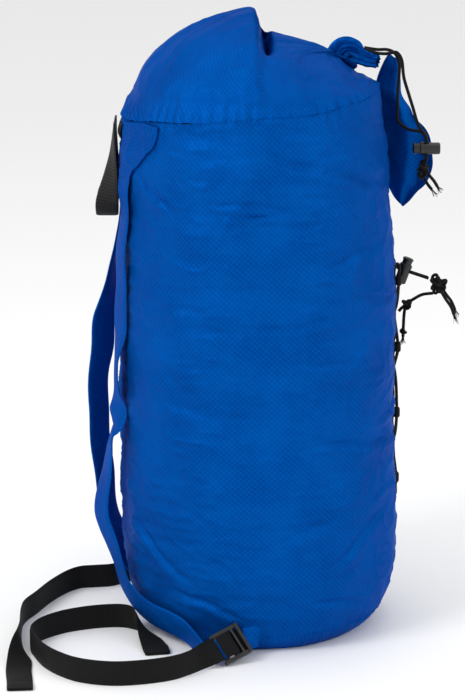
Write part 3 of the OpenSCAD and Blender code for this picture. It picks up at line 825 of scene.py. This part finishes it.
# The near strap twists beside the sack; the far one hangs away from it
STRAP_NEAR = [
    (-130.3, -50, 429, 0.27, -0.96, 0), (-132.8, -45.6, 392, 0.3, -0.95, 0),
    (-133.8, -44, 350, 0.36, -0.93, 0), (-134.5, -42, 315, 0.42, -0.91, 0),
    (-139, -41, 291, 0.2, -0.98, 0), (-140, -40, 277, 0.1, -0.99, 0),
    (-139, -40, 248, 0.2, -0.98, 0), (-138.5, -42, 228, 0.6, -0.8, 0),
    (-140, -41, 212, 0.3, -0.95, 0), (-143, -40, 204, 0.05, -1, 0),
    (-146, -39, 186, 0.2, -0.98, 0), (-150, -38, 165, 0.3, -0.95, 0),
    (-154.5, -37, 139, 0.43, -0.9, 0), (-155.8, -37, 118, 0.52, -0.85, 0),
    (-152, -38, 102, 0.55, -0.83, 0), (-145.5, -40, 86, 0.45, -0.88, 0.15),
    (-138.5, -42, 68, 0.33, -0.92, 0.26),
]
STRAP_FAR = [
    (-131.5, -48, 425, 0.3, -0.95, 0), (-137, -42, 392, 0.28, -0.96, 0),
    (-140.5, -41, 373, 0.27, -0.96, 0), (-146.4, -41, 347, 0.4, -0.92, 0),
    (-151.2, -41, 321, 0.6, -0.8, 0), (-155, -41, 300, 0.72, -0.69, 0),
    (-157, -41, 272, 0.74, -0.67, 0), (-160, -40, 245, 0.66, -0.75, 0),
    (-161.8, -40, 215, 0.64, -0.77, 0), (-160.5, -40, 180, 0.63, -0.77, 0),
    (-157, -40, 142, 0.62, -0.78, 0), (-151, -40, 100, 0.52, -0.85, 0),
    (-143.5, -42, 77, 0.4, -0.88, 0.15),
]
# Heights between which a strap comes to lie on the cloth
LAID_FROM = 448
LAID_TO = 478


def lay_on_sack(obj):
    """Lays a strap's sewn end on the tube's cloth, below the hood's seam."""
    for v in obj.data.vertices:
        x, y, z = (c / MM for c in v.co)
        share = smoothstep(LAID_FROM, LAID_TO, z)
        if share == 0.0:
            continue
        angle = atan2(y, x)
        z = min(z, seam_height(angle) - 0.8)
        on = Vector(tube_point(angle, z))
        out = Vector((x, y, 0))
        outside = v.normal.dot(out) > 0
        r = lerp(out.length, hypot(on.x, on.y) + (2.9 if outside else 0.3), share)
        out = out.normalized() * r
        v.co = Vector((out.x, out.y, z)) * MM


def make_straps():
    for name, turn, middle in (
        ("shoulder_strap_near", 1, STRAP_NEAR), ("shoulder_strap_far", -1, STRAP_FAR),
    ):
        middle = [(x, y, z, STRAP_W, a, b, c) for x, y, z, a, b, c in middle]
        route = STRAP_TOP + middle + STRAP_FOOT
        rows = [(x, y * turn, z, w, a, b * turn, c) for x, y, z, w, a, b, c in route]

        def ripple(r, t, turn=turn):
            wave = 0.7 * sin(t * 61 + turn) + 0.5 * sin(t * 23 + 2 * turn)
            wave *= smoothstep(0.02, 0.15, t) * (1 - smoothstep(0.9, 0.97, t))
            push = Vector((r[0], r[1], 0)).normalized() * wave
            return [r[0] + push.x, r[1] + push.y, r[2], r[3], r[4], r[5], r[6]]

        cloth, _, _ = band_mesh(name + "_cloth", rows, 2.6, ROOT, "strap_cloth", [name],
                                across=22, bend=ripple, crown=0.6)
        lay_on_sack(cloth)


# ---- ladder locks' webbing
LADDER_AT = Vector((-26, -142, 18))
# Width of the handle's webbing, the anchors and the strap loops
NARROW_W = 22


def ladder_frame(turn):
    """The ladder lock's own axes in the sack's frame; turn is -1 for the far one."""
    heading = Matrix.Rotation(radians(190), 3, "Z")
    roll = Matrix.Rotation(radians(-50), 3, "X")
    axes = heading @ roll @ Matrix.Rotation(radians(25), 3, "Z")

    def place(x, y, z):
        p = LADDER_AT + axes @ Vector((x, y, z))
        return Vector((p.x, p.y * turn, p.z))

    return place


def make_ladder_webbing():
    # the middle line of the webbing through the lock, along it and out of it
    path = [(-14, -3.7), (-6, -3.7), (-3.6, -3.5), (-2.9, -2.4), (-2.9, 2.2), (-2.4, 3.8),
            (-0.6, 5.3), (4, 5.6), (12.4, 5.6)]
    for name, turn in (("near", 1), ("far", -1)):
        place = ladder_frame(turn)
        side = place(0, 1, 0) - place(0, 0, 0)
        rows = [list(place(x, 0, z)) + [24] + list(side) for x, z in path]
        ribbed = {"step": 0.5, "across": 8, "rib": 2.4, "rib_depth": 0.25}
        band_mesh(f"webbing_wrap_{name}_weave", rows, 1.4, f"ladder_lock_{name}", "webbing",
                  [f"webbing_wrap_{name}"], **ribbed)
        anchor = [
            (2, -126 * turn, 20, NARROW_W, 0.1, 0.2 * turn, -0.97),
            (-6, -128.9 * turn, 20.4, NARROW_W, 0.3, -0.2 * turn, -0.9),
            (-13, -132.4 * turn, 21.1, NARROW_W, 0.517, -0.5 * turn, -0.694),
        ]
        band_mesh(f"anchor_webbing_{name}_weave", anchor, 1.4, ROOT, "webbing",
                  [f"anchor_webbing_{name}"], **ribbed)
        ring = []
        for i in range(49):
            a = 2 * pi * i / 48
            p = place(11 + 3.35 * cos(a), 0, 3.35 * sin(a))
            ring.append(list(p) + [NARROW_W] + list(side))
        band_mesh(f"strap_loop_{name}_cloth", ring, 1.3, ROOT, "strap_cloth",
                  [f"strap_loop_{name}"], step=0.8, across=14, steps=1)


# ---- grab handle
HANDLE = [
    (-140, -15.5, 513, 0, 1, 0), (-141, -15.5, 500, -0.1, 1, 0), (-142, -16.5, 482, -0.3, 0.95, 0),
    (-144, -17.5, 462, -0.6, 0.8, 0), (-146.7, -17.5, 444, -0.85, 0.53, 0),
    (-148.6, -15, 431, -1, 0, 0), (-148.6, -9, 422, -1, 0, 0), (-148.6, 0, 418, -1, 0, 0),
]


def make_handle():
    rows = [(x, y, z, NARROW_W, a, b, c) for x, y, z, a, b, c in HANDLE]
    rows += [(x, -y, z, NARROW_W, a, -b, c) for x, y, z, a, b, c in reversed(HANDLE[:-1])]
    band_mesh("grab_handle_weave", rows, 1.7, "grab_handle", "webbing", ["grab_handle"],
              step=0.6, across=12, rib=2.4, rib_depth=0.22)


# ---- lacing tapes and loops
def row_on_tube(a, z, width, gap, least=0.0):
    """A row of an upright band on the tube's cloth, a gap away from it."""
    p = Vector(tube_point(a, z))
    r = max(hypot(p.x, p.y) + gap, least)
    return (r * cos(a), r * sin(a), z, width, -sin(a), cos(a), 0)


def make_lacing():
    for name, side in (("near", -1), ("far", 1)):
        a = LACE_TURN + side * LACE_ANGLE
        out = Vector((cos(a), sin(a), 0))
        rows = []
        for i in range(40):
            z = lerp(LACE_Z0 - 16, LACE_Z0 + 3 * LACE_PITCH + 16, i / 39)
            rows.append(row_on_tube(a, z, 12, 0.6, 137.4))
        band_mesh(f"lace_tape_{name}_weave", rows, 1.0, ROOT, "webbing", [f"lace_tape_{name}"],
                  step=0.6, across=8, rib=1.8, rib_depth=0.15, steps=2)
        parts = []
        across = Vector((-sin(a), cos(a), 0))
        for k in range(LACE_RUNGS):
            z = LACE_Z0 + k * LACE_PITCH
            loop = []
            for i in range(41):
                t = 2 * pi * i / 40
                c, s = cos(t), sin(t)
                wide = 5.2 * abs(c) ** 0.8 * (1 if c > 0 else -1)
                high = 2.7 * abs(s) ** 0.7 * (1 if s > 0 else -1)
                p = out * (LACE_R + high) + across * wide + Vector((0, 0, z))
                loop.append(list(p) + [8.5, 0, 0, 1])
            rows, _ = even(loop, 0.6)
            verts, weave = band_points(rows, 0.9, 8, 1.8, 0.12)
            parts.append((verts, tube_faces(len(rows), 18), weave))
        join(f"lace_loops_{name}_weave", parts, [f"lace_loops_{name}"])


def make_patches():
    parts = []
    for s in (-1, 1):
        a = radians(180 + s * 6.6)
        rows = [row_on_tube(a, lerp(499, 513, i / 11), NARROW_W, 1.0) for i in range(12)]
        rows, _ = even(rows, 0.6)
        verts, weave = band_points(rows, 1.7, 10, 2.4, 0.2)
        parts.append((verts, tube_faces(len(rows), 22), weave))
    join("handle_patch_weave", parts, ["handle_patch"])


# ---- materials
class Nodes:
    """Short names for building one material's nodes."""

    def __init__(self, name, roughness, **constants):
        self.material = bpy.data.materials.new(name)
        self.material.use_nodes = True
        self.tree = self.material.node_tree
        self.shader = self.tree.nodes["Principled BSDF"]
        self.shader.inputs["Roughness"].default_value = roughness
        for label, value in constants.items():
            self.shader.inputs[label.replace("_", " ")].default_value = value

    def plug(self, socket, value):
        """Sets a socket to a number or a colour, or links it to another node."""
        if isinstance(value, (int, float, tuple)):
            socket.default_value = value
        else:
            self.tree.links.new(value, socket)

    def add(self, kind, sockets, **settings):
        """A node with its settings made and its sockets plugged. Returns its outputs."""
        node = self.tree.nodes.new(kind)
        for label, value in settings.items():
            setattr(node, label, value)
        for label, value in sockets.items():
            self.plug(node.inputs[label], value)
        return node.outputs

    def math(self, operation, a, b=0.0):
        return self.add("ShaderNodeMath", {0: a, 1: b}, operation=operation)[0]

    def weave(self):
        """Across and along the cloth, in metres, and the two as one vector."""
        cloth = self.add("ShaderNodeAttribute", {}, attribute_name="weave")["Vector"]
        parts = self.add("ShaderNodeSeparateXYZ", {0: cloth})
        return parts["X"], parts["Y"], cloth

    def stripe(self, value, pitch, power=1.0):
        """0 to 1 to 0 once for each pitch; a high power leaves a thin line."""
        wave = self.math("SINE", self.math("MULTIPLY", value, pi / pitch))
        return self.math("POWER", self.math("ABSOLUTE", wave), power)

    def noise(self, vector, scale, detail=3.0, roughness=0.5):
        return self.add("ShaderNodeTexNoise", {
            "Vector": vector, "Scale": scale, "Detail": detail, "Roughness": roughness,
        })["Fac"]

    def place(self):
        return self.add("ShaderNodeTexCoord", {})["Object"]

    def mix(self, share, a, b):
        sockets = {"Factor": share, "A": a, "B": b}
        return self.add("ShaderNodeMix", sockets, data_type="RGBA")["Result"]

    def ramp(self, value, low, high, to_low, to_high):
        return self.add("ShaderNodeMapRange", {
            "Value": value, "From Min": low, "From Max": high, "To Min": to_low, "To Max": to_high,
        })["Result"]

    def bump(self, height, distance, strength, below=None):
        sockets = {"Strength": strength, "Distance": distance, "Height": height}
        if below is not None:
            sockets["Normal"] = below
        return self.add("ShaderNodeBump", sockets)["Normal"]

    def colour(self, value):
        self.plug(self.shader.inputs["Base Color"], value)

    def finish(self, normal=None, roughness=None):
        for label, value in (("Normal", normal), ("Roughness", roughness)):
            if value is not None:
                self.plug(self.shader.inputs[label], value)
        return self.material


BLUE = (0.0002, 0.064, 0.315, 1)
BLUE_DEEP = (0.0001, 0.044, 0.245, 1)
BLUE_LINE = (0.001, 0.13, 0.49, 1)
BLACK = (0.0015, 0.0015, 0.0017, 1)
# Pitch in metres of the ripstop's grid, its threads, the webbing's ribs and columns, and the braid
RIPSTOP_CELL = 0.0038
THREAD = 0.0005
RIB = 0.0024
COLUMN = 0.0011
STRAND = 0.00118


def ripstop_material(name):
    """Thin coated nylon: a fine plain weave with a diagonal grid of thicker threads."""
    n = Nodes(name, 0.5, Metallic=0.4, Specular_IOR_Level=0.02)
    n.shader.inputs["Specular Tint"].default_value = (0.02, 0.35, 1.0, 1)
    x, y, cloth = n.weave()
    down = n.math("MULTIPLY", n.math("ADD", x, y), 0.7071)
    up = n.math("MULTIPLY", n.math("SUBTRACT", x, y), 0.7071)
    one = n.stripe(down, RIPSTOP_CELL)
    two = n.stripe(up, RIPSTOP_CELL)
    strong, weak = (n.math("POWER", n.math("SUBTRACT", 1.0, wave), 4.0) for wave in (one, two))
    grid = n.math("MAXIMUM", strong, n.math("MULTIPLY", weak, 0.8))
    fine = n.math("MULTIPLY", n.stripe(down, THREAD), n.stripe(up, THREAD))
    patch = n.noise(cloth, 22.0, 4.0)
    cloudy = n.noise(cloth, 160.0, 3.0)
    tone = n.mix(n.ramp(patch, 0.3, 0.7, 0.0, 1.0), BLUE_DEEP, BLUE)
    tone = n.mix(n.math("MULTIPLY", grid, 0.5), tone, BLUE_LINE)
    tone = n.mix(n.ramp(cloudy, 0.35, 0.75, 0.0, 0.1), tone, BLUE_LINE)
    n.colour(tone)
    crumple = n.noise(cloth, 95.0, 6.0, 0.62)
    normal = n.bump(crumple, 0.0035, 0.5)
    normal = n.bump(grid, 0.00018, 0.6, normal)
    normal = n.bump(fine, 0.00007, 0.5, normal)
    return n.finish(normal, n.ramp(patch, 0.3, 0.7, 0.36, 0.48))


def webbing_material(name, tint, light, pitch=RIB, honeycomb=False):
    """Woven polypropylene: ribs across and fine threads along."""
    n = Nodes(name, 0.6, Sheen_Weight=0.02, Sheen_Roughness=0.5, Specular_IOR_Level=0.1)
    x, y, cloth = n.weave()
    rib = n.stripe(y, pitch, 0.7)
    column = n.stripe(x, COLUMN, 0.8)
    if honeycomb:
        shifted = n.math("ADD", y, n.math("MULTIPLY", n.stripe(x, RIB), pitch / 2))
        rib = n.stripe(shifted, pitch, 0.8)
        column = n.stripe(x, RIB, 0.6)
    thread = n.math("MULTIPLY", rib, column)
    wear = n.noise(cloth, 900.0, 4.0, 0.7)
    tone = n.mix(n.math("MULTIPLY", thread, 0.8), tint, light)
    tone = n.mix(n.ramp(wear, 0.5, 0.75, 0.0, 0.5), tone, light)
    n.colour(tone)
    normal = n.bump(thread, 0.00045, 0.9)
    normal = n.bump(wear, 0.0001, 0.6, normal)
    return n.finish(normal, n.ramp(wear, 0.3, 0.7, 0.45, 0.62))


def cord_material():
    """Braided black cord: two sets of strands crossing round it."""
    n = Nodes("braided_cord", 0.6, Sheen_Weight=0.03, Sheen_Roughness=0.45, Specular_IOR_Level=0.12)
    x, y, cloth = n.weave()
    lean = n.math("MULTIPLY", y, 0.8)
    down = n.stripe(n.math("ADD", x, lean), STRAND, 0.7)
    up = n.stripe(n.math("SUBTRACT", x, lean), STRAND, 0.7)
    strand = n.math("MAXIMUM", down, up)
    braid = n.math("MULTIPLY", down, up)
    fuzz = n.noise(cloth, 1500.0, 3.0, 0.7)
    tone = n.mix(n.math("MULTIPLY", braid, 0.9), BLACK, (0.008, 0.008, 0.0085, 1))
    tone = n.mix(n.ramp(fuzz, 0.45, 0.8, 0.0, 0.5), tone, (0.015, 0.015, 0.016, 1))
    n.colour(tone)
    normal = n.bump(n.math("ADD", braid, n.math("MULTIPLY", strand, 0.5)), 0.0004, 0.9)
    return n.finish(n.bump(fuzz, 0.00012, 0.7, normal))


def plastic_material():
    """Moulded acetal, nearly black, with a satin texture and lighter rubbed places."""
    n = Nodes("moulded_plastic", 0.38, Specular_IOR_Level=0.5)
    where = n.place()
    grain = n.noise(where, 1400.0, 2.0)
    wear = n.noise(where, 130.0, 4.0, 0.65)
    n.colour(n.mix(n.ramp(wear, 0.45, 0.75, 0.0, 0.6), (0.0035, 0.0035, 0.004, 1),
                   (0.014, 0.014, 0.015, 1)))
    return n.finish(n.bump(grain, 0.00006, 0.6), n.ramp(wear, 0.3, 0.7, 0.3, 0.48))


def steel_material():
    n = Nodes("spring_steel", 0.32, Metallic=1.0)
    drawn = n.noise(n.place(), 800.0)
    n.colour(n.mix(n.ramp(drawn, 0.3, 0.7, 0.0, 1.0), (0.42, 0.42, 0.43, 1), (0.62, 0.62, 0.64, 1)))
    return n.finish(n.bump(drawn, 0.00003, 0.5), n.ramp(drawn, 0.3, 0.7, 0.25, 0.4))


def filling_material():
    n = Nodes("filling_fibre", 0.85, Sheen_Weight=0.3)
    fibre = n.noise(n.place(), 300.0, 6.0, 0.7)
    n.colour(n.mix(fibre, (0.10, 0.10, 0.11, 1), (0.22, 0.22, 0.24, 1)))
    return n.finish(n.bump(fibre, 0.001, 0.7))


def floor_material():
    n = Nodes("studio_floor", 0.6)
    n.colour((0.93, 0.93, 0.93, 1))
    return n.finish()


def coat(obj, material):
    if obj.material_slots:
        for place in obj.material_slots:
            place.link = "OBJECT"
            place.material = material
    else:
        obj.data.materials.append(material)


def paint():
    ripstop = ripstop_material("ripstop_nylon")
    doubled = ripstop_material("strap_nylon")
    webbing = webbing_material("black_webbing", BLACK, (0.011, 0.011, 0.0115, 1))
    woven = webbing_material("handle_webbing", (0.003, 0.003, 0.0033, 1), (0.032, 0.032, 0.033, 1),
                             0.0032, honeycomb=True)
    plastic, steel = plastic_material(), steel_material()
    # The first rule that fits a piece's name, by its start and its end, gives its material
    rules = [
        ("packed_filling", "", filling_material()), (("grab_handle_", "handle_patch_"), "", woven),
        ("anchor_webbing", "", doubled), ("", "_weave", webbing),
        ("", ("_braid", "_knot", "_knots"), cord_material()),
        (("shoulder_strap", "strap_loop"), "_cloth", doubled), ("", ("_cloth", "_piping"), ripstop),
        (("sack_", "mouth_gather"), "", ripstop),
    ]
    for obj in SCENE.objects:
        if obj.type != "MESH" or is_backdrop(obj):
            continue
        for start, end, material in rules:
            if obj.name.startswith(start) and obj.name.endswith(end):
                coat(obj, material)
                break
    for name, node in frame["nodes"].items():
        if "spring" in name:
            coat(node, steel)
        elif "lock" in name:
            coat(node, plastic)


# ---- studio
def area_light(name, place, size, power):
    data = bpy.data.lights.new(name, "AREA")
    data.shape = "RECTANGLE"
    data.size = data.size_y = size
    data.energy = power
    lamp = bpy.data.objects.new(name, data)
    lamp.location = place
    way = Vector((0, 0, 0.3)) - Vector(place)
    lamp.rotation_euler = way.to_track_quat("-Z", "Y").to_euler()
    SCENE.collection.objects.link(lamp)


def make_studio():
    half = 30.0
    mesh = bpy.data.meshes.new("studio_floor")
    mesh.from_pydata([(-half, -half, 0), (half, -half, 0), (half, half, 0), (-half, half, 0)], [],
                     [(0, 1, 2, 3)])
    floor = bpy.data.objects.new("studio_floor", mesh)
    floor.location.z = -0.0002
    SCENE.collection.objects.link(floor)
    floor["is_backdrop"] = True
    coat(floor, floor_material())
    world = bpy.data.worlds.new("studio_air")
    world.use_nodes = True
    air = world.node_tree.nodes["Background"].inputs
    air["Color"].default_value = (1, 1, 1, 1)
    air["Strength"].default_value = 0.85
    SCENE.world = world
    SCENE.view_settings.view_transform = "Standard"
    area_light("key_softbox", (-1.7, -1.5, 2.0), 1.0, 34)
    area_light("fill_softbox", (2.0, -1.2, 1.3), 1.2, 13)
    area_light("top_softbox", (0, 0.2, 2.4), 1.6, 8)


# ---- scene
make_camera()
make_cords()
make_sack()
make_filling()
make_mouth()
make_flap()
make_straps()
make_ladder_webbing()
make_handle()
make_patches()
make_lacing()
make_studio()
paint()
